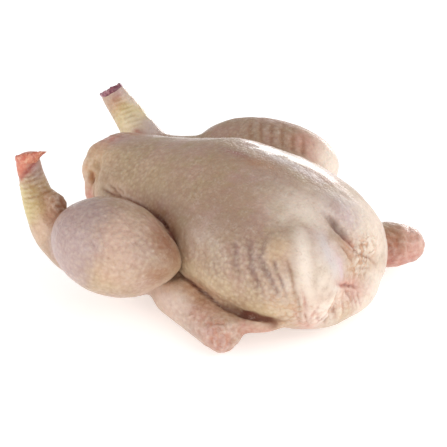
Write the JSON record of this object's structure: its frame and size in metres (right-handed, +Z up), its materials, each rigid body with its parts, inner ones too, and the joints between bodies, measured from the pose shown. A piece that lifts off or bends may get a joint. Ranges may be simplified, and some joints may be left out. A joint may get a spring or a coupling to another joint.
{
  "type": "whole raw duck",
  "caption": "Whole plucked oven-ready bird lying on its back, breast up, with splayed drumsticks, cut shanks and short wing stubs.",
  "frame": {"origin": "centre of the bounding box in plan, on the surface the bird lies on", "axes": "+X along the body towards the neck end, +Z up through the breast, +Y towards the leg held closer to the body"},
  "size_m": [0.2712, 0.244, 0.1049],
  "materials": {
    "skin": "satin"
  },
  "bodies": {
    "root": {"duck": "skin"}
  },
  "joints": []
}
